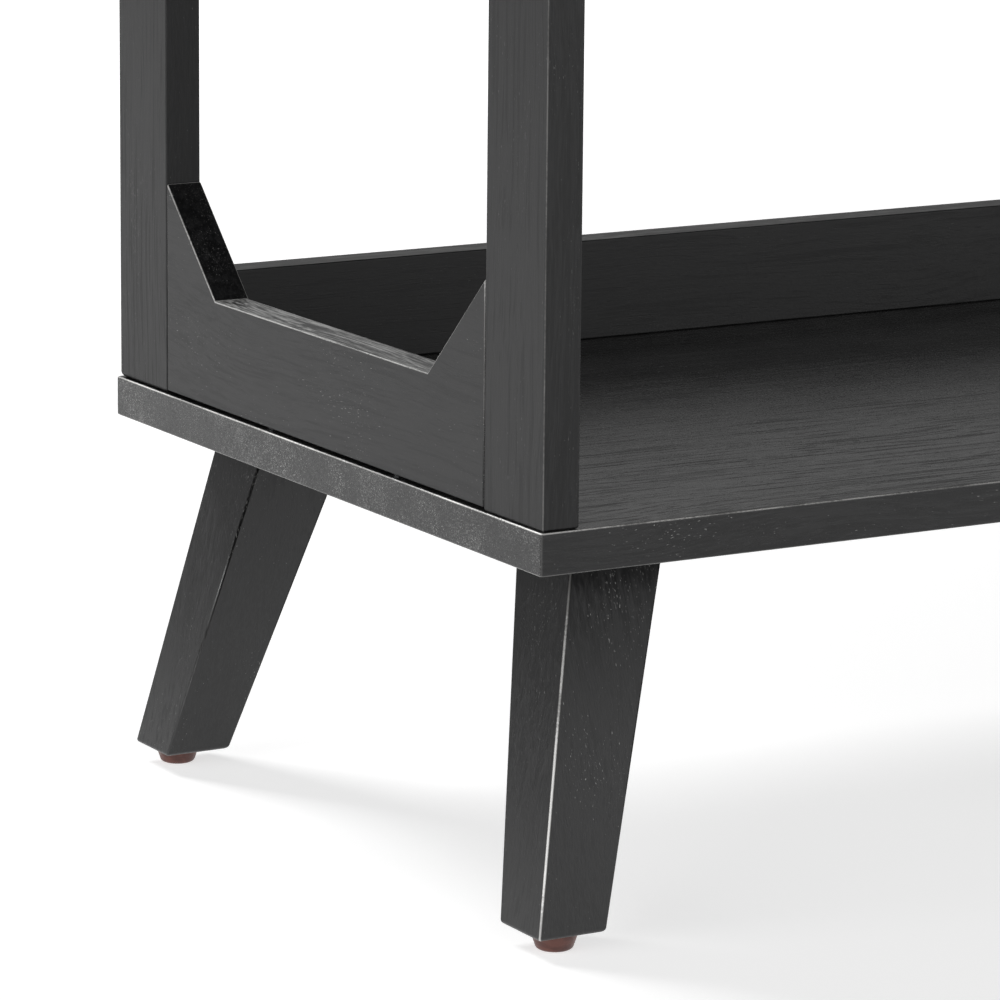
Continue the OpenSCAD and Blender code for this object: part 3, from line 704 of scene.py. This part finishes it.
oak_crosswise = black_oak(
    "black oak, grain crosswise", "Y", glinted=0.45, pored=0.05, gloss=(0.38, 0.49), shine=0.38
)
PANEL_EASING = 0.0007
NOTCH_FLOOR = 0.052
NOTCH_SLOPE = 0.050
JOINT_LINE = 0.0006
PANEL_CLEAR = 0.0014
for side in ("left", "right"):
    low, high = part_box(f"end_panel_{side}")
    flat_y = high.y - NOTCH_SLOPE
    flat_z = low.z + NOTCH_FLOOR
    end_y = high.y - JOINT_LINE
    bottom = low.z + PANEL_CLEAR
    outline = [(-end_y, bottom), (end_y, bottom), (end_y, high.z), (flat_y, flat_z)]
    outline += [(-flat_y, flat_z), (-end_y, high.z)]
    # painted light: the flat of the notch is painted pale where light falls on it
    panel = profiled(
        f"{side}_end_panel",
        outline,
        "X",
        low.x,
        high.x,
        PANEL_EASING,
        oak_crosswise,
        pale_edges_above=flat_z - 0.002,
        painted_lit_at=flat_z,
    )
    belongs(panel, "base", "black_oak", f"end_panel_{side}")

# ---- shelf rail ----
# A rail between the rear posts keeps things from sliding off the back of the shelf.
# It is screwed up through the shelf and dowelled into the posts.
low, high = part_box("shelf_rail")
oak_plain = black_oak("black oak, rail and box", "X", glinted=0.12, pored=0.1, gloss=(0.42, 0.54))
RAIL_CORNER = 0.0006
RAIL_EASING = 0.0008
# painted light: the top of the rail is painted a little pale where light falls on it
rail = board(
    "back_rail", low, high, RAIL_CORNER, (RAIL_EASING, RAIL_EASING), oak_plain, thin_top=0.25
)
belongs(rail, "base", "black_oak", "shelf_rail")

# ---- storage box ----
# Four oak aprons make the box under the top. Each has a groove along its inner face
# that holds the edge of a thin black-lacquered fibreboard floor.
GROOVE_DEPTH = 0.006
APRON_EASING = 0.0008
floor_low, floor_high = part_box("storage_floor")
groove_top = floor_high.z + 0.0004


def grooved(inner, outer, bottom, top):
    """The section of an apron, with the groove cut into its inner face."""
    cut = inner + math.copysign(GROOVE_DEPTH, outer - inner)
    return [
        (outer, bottom),
        (outer, top),
        (inner, top),
        (inner, groove_top),
        (cut, groove_top),
        (cut, floor_low.z),
        (inner, floor_low.z),
        (inner, bottom),
    ]


for end, along in (("front", -1), ("back", 1)):
    low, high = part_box(f"{end}_apron")
    inner, outer = (high.y, low.y) if along < 0 else (low.y, high.y)
    section = grooved(inner, outer, low.z, high.z)
    apron = profiled(
        f"{end}_box_apron", section, "X", low.x, high.x, APRON_EASING, oak_plain
    )
    belongs(apron, "base", "black_oak", f"{end}_apron")
for side, across in (("left", -1), ("right", 1)):
    low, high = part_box(f"end_apron_{side}")
    inner, outer = (high.x, low.x) if across < 0 else (low.x, high.x)
    section = grooved(inner, outer, low.z, high.z)
    apron = profiled(
        f"{side}_box_apron", section, "Y", low.y, high.y, APRON_EASING, oak_crosswise
    )
    belongs(apron, "base", "black_oak", f"end_apron_{side}")

black_board, tree, shader = painted("black fibreboard", {"Specular IOR Level": 0.35})
place = place_node(tree, "ShaderNodeTexCoord").outputs["Object"]
mottle = stretched_noise(tree, place, (30, 30, 30), 4.0, 0.6)
mottle_share = ramp(tree, mottle, 0.35, 0.65)
flat_black = blended(tree, mottle_share, (0.011, 0.011, 0.012, 1), (0.019, 0.019, 0.020, 1))
tree.links.new(flat_black, shader.inputs["Base Color"])
tree.links.new(ramp(tree, mottle, 0.3, 0.7, 0.48, 0.60), shader.inputs["Roughness"])
orange_peel = bumped(tree, stretched_noise(tree, place, (420, 420, 420), 2.0), 0.25, 0.0002)
tree.links.new(orange_peel, shader.inputs["Normal"])


def finish_cad(node_name, material):
    """Gives a carried-over CAD piece its finish."""
    piece = frame["nodes"][node_name]
    piece.data.materials.clear()
    piece.data.materials.append(material)


finish_cad("storage_floor", black_board)

# ---- hidden joinery ----
# Fluted beech dowels sit inside every joint of the frame. Zinc-plated bolts run from
# the legs into insert nuts in the shelf, and a nail holds each glide.
beech, tree, shader = painted("beech", {"Roughness": 0.62})
place = place_node(tree, "ShaderNodeTexCoord").outputs["Object"]
fleck = stretched_noise(tree, place, (900, 900, 160), 2.0)
fleck_share = ramp(tree, fleck, 0.4, 0.65)
pale = blended(tree, fleck_share, (0.60, 0.42, 0.26, 1), (0.42, 0.26, 0.14, 1))
tree.links.new(pale, shader.inputs["Base Color"])
for node_name in ("leg_dowels", "frame_dowels", "rail_dowels", "post_dowels"):
    finish_cad(node_name, beech)

zinc, tree, shader = painted("zinc plate", {"Metallic": 1.0, "Roughness": 0.32})
place = place_node(tree, "ShaderNodeTexCoord").outputs["Object"]
bloom = stretched_noise(tree, place, (260, 260, 260), 3.0)
bloom_share = ramp(tree, bloom, 0.35, 0.65)
plated = blended(tree, bloom_share, (0.58, 0.59, 0.61, 1), (0.44, 0.45, 0.47, 1))
tree.links.new(plated, shader.inputs["Base Color"])
tree.links.new(ramp(tree, bloom, 0.3, 0.7, 0.26, 0.42), shader.inputs["Roughness"])
for node_name in ("leg_bolts", "leg_insert_nuts", "glide_nails", "cam_bolts"):
    finish_cad(node_name, zinc)


# ---- screws and cams ----
# Countersunk cross-head screws come up through the shelf, and the same pattern in a
# smaller size holds the base brackets. Round cams with a cross slot draw the aprons in.
def geometry_tree(name, takes):
    """An empty geometry tree that takes points and named sizes."""
    tree = bpy.data.node_groups.new(name, "GeometryNodeTree")
    tree.interface.new_socket("Points", in_out="INPUT", socket_type="NodeSocketGeometry")
    for socket, kind, start in takes:
        made = tree.interface.new_socket(socket, in_out="INPUT", socket_type=kind)
        if start is not None:
            made.default_value = start
    tree.interface.new_socket("Geometry", in_out="OUTPUT", socket_type="NodeSocketGeometry")
    return tree, tree.nodes.new("NodeGroupInput"), tree.nodes.new("NodeGroupOutput")


def moved(tree, geometry, up):
    """Geometry shifted along its own Z by a height that may be a socket."""
    offset = place_node(tree, "ShaderNodeCombineXYZ", {"Z": up}).outputs[0]
    return place_node(
        tree, "GeometryNodeTransform", {"Geometry": geometry, "Translation": offset}
    ).outputs[0]


cross_head, head_in, head_out = geometry_tree(
    "cross-head fastener",
    [
        ("Face Radius", "NodeSocketFloat", 0.005),
        ("Under Radius", "NodeSocketFloat", 0.0026),
        ("Head Height", "NodeSocketFloat", 0.003),
        ("Shank Radius", "NodeSocketFloat", 0.0026),
        ("Shank Length", "NodeSocketFloat", 0.03),
        ("Slot Length", "NodeSocketFloat", 0.005),
        ("Slot Width", "NodeSocketFloat", 0.001),
        ("Slot Depth", "NodeSocketFloat", 0.0015),
        ("Finish", "NodeSocketMaterial", None),
    ],
)
sizes = head_in.outputs
head = place_node(
    cross_head,
    "GeometryNodeMeshCone",
    {
        "Vertices": 28,
        "Radius Top": sizes["Face Radius"],
        "Radius Bottom": sizes["Under Radius"],
        "Depth": sizes["Head Height"],
    },
).outputs["Mesh"]
head = moved(cross_head, head, calc(cross_head, "MULTIPLY", sizes["Head Height"], -1.0))
shank = place_node(
    cross_head,
    "GeometryNodeMeshCylinder",
    {"Vertices": 20, "Radius": sizes["Shank Radius"], "Depth": sizes["Shank Length"]},
).outputs["Mesh"]
shank_middle = calc(
    cross_head,
    "SUBTRACT",
    calc(cross_head, "MULTIPLY", sizes["Shank Length"], -0.5),
    sizes["Head Height"],
)
shank = moved(cross_head, shank, shank_middle)
slot_tall = calc(cross_head, "MULTIPLY", sizes["Slot Depth"], 2.0)
slots = []
for long_way, short_way in (("X", "Y"), ("Y", "X")):
    size = place_node(
        cross_head,
        "ShaderNodeCombineXYZ",
        {long_way: sizes["Slot Length"], short_way: sizes["Slot Width"], "Z": slot_tall},
    ).outputs[0]
    slots.append(place_node(cross_head, "GeometryNodeMeshCube", {"Size": size}).outputs["Mesh"])
cut = place_node(cross_head, "GeometryNodeMeshBoolean", {"Mesh 1": head}, operation="DIFFERENCE")
for cutter in slots:
    cross_head.links.new(cutter, cut.inputs["Mesh 2"])
whole = place_node(cross_head, "GeometryNodeJoinGeometry")
cross_head.links.new(cut.outputs["Mesh"], whole.inputs[0])
cross_head.links.new(shank, whole.inputs[0])
facing = place_node(
    cross_head, "GeometryNodeInputNamedAttribute", {"Name": "facing"}, data_type="FLOAT_VECTOR"
).outputs["Attribute"]
turn = place_node(
    cross_head, "FunctionNodeAlignRotationToVector", {"Vector": facing}, axis="Z"
).outputs["Rotation"]
set_out = place_node(
    cross_head,
    "GeometryNodeInstanceOnPoints",
    {"Points": sizes["Points"], "Instance": whole.outputs[0], "Rotation": turn},
).outputs[0]
solid = place_node(cross_head, "GeometryNodeRealizeInstances", {"Geometry": set_out}).outputs[0]
coated = place_node(
    cross_head, "GeometryNodeSetMaterial", {"Geometry": solid, "Material": sizes["Finish"]}
).outputs[0]
cross_head.links.new(coated, head_out.inputs[0])


def grown(name, tree, points, values, edges=(), facing=None):
    """The plain mesh that a geometry tree makes from points, as a piece of its own."""
    seed = bpy.data.meshes.new(name + " points")
    seed.from_pydata(points, list(edges), [])
    if facing:
        layer = seed.attributes.new("facing", "FLOAT_VECTOR", "POINT")
        for spot, direction in zip(layer.data, facing):
            spot.vector = direction
    seedling = bpy.data.objects.new(name + " points", seed)
    bpy.context.collection.objects.link(seedling)
    modifier = seedling.modifiers.new("grow", "NODES")
    modifier.node_group = tree
    for item in tree.interface.items_tree:
        if item.item_type == "SOCKET" and item.in_out == "INPUT" and item.name in values:
            modifier[item.identifier] = values[item.name]
    bpy.context.view_layer.update()
    depsgraph = bpy.context.evaluated_depsgraph_get()
    mesh = bpy.data.meshes.new_from_object(seedling.evaluated_get(depsgraph))
    mesh.name = name
    bpy.data.objects.remove(seedling)
    piece = bpy.data.objects.new(name, mesh)
    bpy.context.collection.objects.link(piece)
    return piece


low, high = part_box("shelf_screws")
post_low, post_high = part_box("post_front_left")
post_x = abs(post_low.x + post_high.x) / 2
rail_low, rail_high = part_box("shelf_rail")
SCREW_RADIUS = 0.005
SCREW_SUNK = 0.0001
post_screw_y = high.y - SCREW_RADIUS
panel_screw_y = 0.060
rail_screw_x = (cad_high.x - cad_low.x) * 0.36
screw_face_z = shelf_low.z + SCREW_SUNK
shelf_screw_spots = [
    (sx * post_x, sy * y, screw_face_z)
    for sx in (-1, 1)
    for sy in (-1, 1)
    for y in (post_screw_y, panel_screw_y)
]
shelf_screw_spots += [
    (k * rail_screw_x, (rail_low.y + rail_high.y) / 2, screw_face_z) for k in (-1, 0, 1)
]
screws = grown(
    "screws_under_shelf",
    cross_head,
    shelf_screw_spots,
    {
        "Face Radius": SCREW_RADIUS,
        "Under Radius": 0.0026,
        "Head Height": 0.003,
        "Shank Radius": 0.0026,
        "Shank Length": 0.0388,
        "Slot Length": 0.0052,
        "Slot Width": 0.0011,
        "Slot Depth": 0.0016,
        "Finish": zinc,
    },
    facing=[(0, 0, -1)] * len(shelf_screw_spots),
)
belongs(screws, "base", "zinc_steel", "shelf_screws")

low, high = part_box("cam_locks")
CAM_RADIUS = 0.0075
apron_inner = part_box("back_apron")[0].y
cam_x = high.x - CAM_RADIUS
cam_heights = (low.z + CAM_RADIUS, high.z - CAM_RADIUS)
cam_spots = [
    (sx * cam_x, sy * (apron_inner - 0.0002), z)
    for sx in (-1, 1)
    for sy in (-1, 1)
    for z in cam_heights
]
cams = grown(
    "cam_locks_in_aprons",
    cross_head,
    cam_spots,
    {
        "Face Radius": CAM_RADIUS,
        "Under Radius": CAM_RADIUS,
        "Head Height": 0.0108,
        "Shank Radius": 0.006,
        "Shank Length": 0.0014,
        "Slot Length": 0.0095,
        "Slot Width": 0.0016,
        "Slot Depth": 0.0018,
        "Finish": zinc,
    },
    facing=[(0, -math.copysign(1, spot[1]), 0) for spot in cam_spots],
)
belongs(cams, "base", "zinc_steel", "cam_locks")

# ---- bumpers ----
# A soft black rubber button on the head of each post keeps the lid from knocking.
rubber, tree, shader = painted("black rubber", {"Roughness": 0.8, "Specular IOR Level": 0.3})
place = place_node(tree, "ShaderNodeTexCoord").outputs["Object"]
rubber_bloom = stretched_noise(tree, place, (300, 300, 300), 3.0)
bloomed = blended(tree, rubber_bloom, (0.012, 0.012, 0.012, 1), (0.032, 0.032, 0.032, 1))
tree.links.new(bloomed, shader.inputs["Base Color"])
finish_cad("top_bumpers", rubber)


# ---- base of the lift mechanism ----
# A folded steel bracket is screwed to each end wall and stands on the box floor. It
# carries the pivot pins, the stop pin and an ear that steadies the spring's own pin.
def deburred(name, node_name, material, easing=0.00025, angle=32.0):
    """A copy of a CAD piece, made one skin, with its sharp edges broken."""
    shape = bmesh.new()
    shape.from_mesh(frame["nodes"][node_name].data)
    bmesh.ops.remove_doubles(shape, verts=shape.verts, dist=1e-6)
    bmesh.ops.dissolve_limit(
        shape, angle_limit=math.radians(0.6), verts=shape.verts, edges=shape.edges
    )
    crisp = [
        edge
        for edge in shape.edges
        if len(edge.link_faces) == 2 and edge.calc_face_angle() > math.radians(angle)
    ]
    rounded = set(
        bmesh.ops.bevel(
            shape, geom=crisp, offset=easing, segments=2, profile=0.5, affect="EDGES", clamp_overlap=True
        )["faces"]
    )
    mask = shape.verts.layers.float.new("arris")
    for vert in shape.verts:
        vert[mask] = float(all(face in rounded for face in vert.link_faces))
    return finished_mesh(name, shape, material)


powder_coat, tree, shader = painted("black powder coat", {"Specular IOR Level": 0.5})
place = place_node(tree, "ShaderNodeTexCoord").outputs["Object"]
speckle = stretched_noise(tree, place, (1600, 1600, 1600), 2.0)
arris = place_node(tree, "ShaderNodeAttribute", attribute_name="arris").outputs["Fac"]
worn_node = place_node(
    tree, "ShaderNodeGroup", {"Arris": arris, "Place": place, "Amount": 0.3}, node_tree=pale_edge_group
)
speckle_share = ramp(tree, speckle, 0.4, 0.6)
coat = blended(tree, speckle_share, (0.016, 0.016, 0.017, 1), (0.028, 0.028, 0.030, 1))
chipped = blended(tree, worn_node.outputs["Worn"], coat, (0.30, 0.30, 0.31, 1))
tree.links.new(chipped, shader.inputs["Base Color"])
tree.links.new(ramp(tree, speckle, 0.3, 0.7, 0.38, 0.5), shader.inputs["Roughness"])
texture = bumped(tree, speckle, 0.4, 0.00012)
tree.links.new(texture, shader.inputs["Normal"])

nylon, tree, shader = painted("natural nylon", {"Roughness": 0.45})
place = place_node(tree, "ShaderNodeTexCoord").outputs["Object"]
clouding = stretched_noise(tree, place, (120, 120, 120), 3.0)
milky = blended(tree, clouding, (0.72, 0.70, 0.62, 1), (0.82, 0.80, 0.74, 1))
tree.links.new(milky, shader.inputs["Base Color"])
finish_cad("spring_sleeves", nylon)

for side in ("left", "right"):
    bracket = deburred(f"{side}_base_bracket", f"base_bracket_{side}", powder_coat)
    belongs(bracket, "base", "black_steel", f"base_bracket_{side}")
pins = deburred("base_pivot_pins", "base_pins", zinc, 0.0005)
belongs(pins, "base", "zinc_steel", "base_pins")
stops = deburred("swing_stop_pins", "stop_pins", zinc, 0.0003)
belongs(stops, "base", "zinc_steel", "stop_pins")
finish_cad("base_washers", zinc)

lift = next(j for j in frame["joints"] if j["name"] == "lift")
front_pivot = Vector(lift["pos_m"])
wall_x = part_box("front_apron")[1].x
PLATE = 0.0025
bracket_screw_spots = [(-0.014, -0.018), (0.030, 0.008), (0.072, 0.008), (0.036, -0.018)]
small_spots = [
    (sx * (wall_x - PLATE - 0.00005), front_pivot.y + dy, front_pivot.z + dz)
    for sx in (-1, 1)
    for dy, dz in bracket_screw_spots
]
small_screws = grown(
    "base_bracket_screw_set",
    cross_head,
    small_spots,
    {
        "Face Radius": 0.004,
        "Under Radius": 0.002,
        "Head Height": 0.0022,
        "Shank Radius": 0.002,
        "Shank Length": 0.0127,
        "Slot Length": 0.0042,
        "Slot Width": 0.0009,
        "Slot Depth": 0.0012,
        "Finish": zinc,
    },
    facing=[(-math.copysign(1, spot[0]), 0, 0) for spot in small_spots],
)
belongs(small_screws, "base", "zinc_steel", "base_bracket_screws")

# ---- assist springs ----
# A torsion spring of oiled wire is wound close round a nylon sleeve on each front pin.
# One tail lifts the arm by its stud, and the other bears down on the bracket.
wire_tree, wire_in, wire_out = geometry_tree(
    "drawn wire",
    [
        ("Wire Radius", "NodeSocketFloat", 0.0015),
        ("Sides", "NodeSocketInt", 14),
        ("Finish", "NodeSocketMaterial", None),
    ],
)
path = place_node(wire_tree, "GeometryNodeMeshToCurve", {"Mesh": wire_in.outputs["Points"]}).outputs[0]
section = place_node(
    wire_tree,
    "GeometryNodeCurvePrimitiveCircle",
    {"Resolution": wire_in.outputs["Sides"], "Radius": wire_in.outputs["Wire Radius"]},
).outputs["Curve"]
swept = place_node(
    wire_tree, "GeometryNodeCurveToMesh", {"Curve": path, "Profile Curve": section, "Fill Caps": True}
).outputs[0]
realised = place_node(wire_tree, "GeometryNodeRealizeInstances", {"Geometry": swept}).outputs[0]
finished = place_node(
    wire_tree, "GeometryNodeSetMaterial", {"Geometry": realised, "Material": wire_in.outputs["Finish"]}
).outputs[0]
wire_tree.links.new(finished, wire_out.inputs[0])

spring_steel, tree, shader = painted("oiled spring wire", {"Metallic": 1.0})
place = place_node(tree, "ShaderNodeTexCoord").outputs["Object"]
drawn = stretched_noise(tree, place, (500, 500, 500), 3.0)
drawn_share = ramp(tree, drawn, 0.35, 0.65)
steel = blended(tree, drawn_share, (0.16, 0.16, 0.17, 1), (0.30, 0.29, 0.28, 1))
tree.links.new(steel, shader.inputs["Base Color"])
tree.links.new(ramp(tree, drawn, 0.3, 0.7, 0.24, 0.40), shader.inputs["Roughness"])

WIRE = 0.0015
COIL = 0.0095
COIL_START = 0.011
COIL_LONG = 0.020
ARM_REST = math.radians(8.0)
ARM_TAIL = 0.058
BASE_TAIL = 0.048
PIVOT_UP = 0.025
TAIL_CLEAR = 0.0001
tail_drop = PIVOT_UP - PLATE - WIRE - TAIL_CLEAR
base_slope = math.asin(tail_drop / math.hypot(BASE_TAIL, COIL)) + math.atan(COIL / BASE_TAIL)
TURNS = 5
STEPS_A_TURN = 26
for side, across in (("left", -1), ("right", 1)):
    first_x = wall_x - COIL_START - WIRE
    last_x = wall_x - COIL_START - COIL_LONG + WIRE
    start_angle = ARM_REST - math.pi / 2
    end_angle = math.pi / 2 - base_slope - 2 * math.pi * TURNS
    steps = int(STEPS_A_TURN * TURNS)
    spots = []
    for k in range(8, 0, -1):
        reach = ARM_TAIL * k / 8
        spots.append(
            (
                first_x,
                front_pivot.y + COIL * math.cos(start_angle) + reach * math.cos(ARM_REST),
                front_pivot.z + COIL * math.sin(start_angle) + reach * math.sin(ARM_REST),
            )
        )
    for k in range(steps + 1):
        share = k / steps
        angle = start_angle + (end_angle - start_angle) * share
        spots.append(
            (
                first_x + (last_x - first_x) * share,
                front_pivot.y + COIL * math.cos(angle),
                front_pivot.z + COIL * math.sin(angle),
            )
        )
    for k in range(1, 9):
        reach = BASE_TAIL * k / 8
        spots.append(
            (
                last_x,
                front_pivot.y + COIL * math.cos(end_angle) + reach * math.cos(base_slope),
                front_pivot.z + COIL * math.sin(end_angle) - reach * math.sin(base_slope),
            )
        )
    spots = [(across * x, y, z) for x, y, z in spots]
    spring = grown(
        f"{side}_spring",
        wire_tree,
        spots,
        {"Wire Radius": WIRE, "Sides": 14, "Finish": spring_steel},
        edges=[(k, k + 1) for k in range(len(spots) - 1)],
    )
    for face in spring.data.polygons:
        face.use_smooth = True
    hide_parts(f"assist_spring_{side}")
    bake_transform(spring)

# ---- arms ----
# Two flat steel arms stay parallel on each side as the top swings forward. A round
# steel tube ties the front pair together, so both sides of the top rise as one.
for side in ("left", "right"):
    arm = deburred(f"{side}_front_arm", f"front_arm_{side}", powder_coat, 0.0004)
    belongs(arm, "front_arms", "black_steel", f"front_arm_{side}")
    arm = deburred(f"{side}_rear_arm", f"rear_arm_{side}", powder_coat, 0.0004)
    belongs(arm, f"rear_arm_{side}", "black_steel", f"rear_arm_{side}")
bar = deburred("tie_bar", "cross_bar", powder_coat, 0.0004)
belongs(bar, "front_arms", "black_steel", "cross_bar")
bar_screws = deburred("tie_bar_screws", "cross_bar_screws", zinc, 0.0004)
belongs(bar_screws, "front_arms", "zinc_steel", "cross_bar_screws")
studs = deburred("spring_lifting_studs", "spring_studs", zinc, 0.0003)
belongs(studs, "front_arms", "zinc_steel", "spring_studs")

# ---- lift top ----
# The whole top is one board, the size of the shelf below. Two angle brackets under it
# hang on the upper rivets of the arms, so it stays level as it rises towards the user.
low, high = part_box("lift_top")
LID_EASING = 0.0011
lid_wear_and_highlight = (0.3, 0.3, 0.3, 0.3, 0.3, 0.6)
lid = board("table_top", low, high, SHELF_CORNER, (LID_EASING, LID_EASING), oak_plain, lid_wear_and_highlight)
belongs(lid, "top", "black_oak", "lift_top")
for side in ("left", "right"):
    bracket = deburred(f"{side}_top_bracket", f"top_bracket_{side}", powder_coat)
    belongs(bracket, "top", "black_steel", f"top_bracket_{side}")
rivets = deburred("upper_rivets", "top_pins", zinc, 0.0005)
belongs(rivets, "top", "zinc_steel", "top_pins")
finish_cad("top_washers", zinc)

low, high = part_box("top_bracket_screws")
PAN_HEIGHT = 0.0024
PAN_RADIUS = 0.004
pan_x = (high.x - PAN_RADIUS, high.x - PAN_RADIUS - 0.015)
pan_y = (low.y + PAN_RADIUS, high.y - PAN_RADIUS)
pan_spots = [(sx * x, y, low.z) for sx in (-1, 1) for x in pan_x for y in pan_y]
pan_screws = grown(
    "top_bracket_screw_set",
    cross_head,
    pan_spots,
    {
        "Face Radius": PAN_RADIUS * 0.86,
        "Under Radius": PAN_RADIUS,
        "Head Height": PAN_HEIGHT,
        "Shank Radius": 0.002,
        "Shank Length": high.z - low.z - PAN_HEIGHT,
        "Slot Length": 0.0044,
        "Slot Width": 0.001,
        "Slot Depth": 0.0014,
        "Finish": zinc,
    },
    facing=[(0, 0, -1)] * len(pan_spots),
)
belongs(pan_screws, "top", "zinc_steel", "top_bracket_screws")
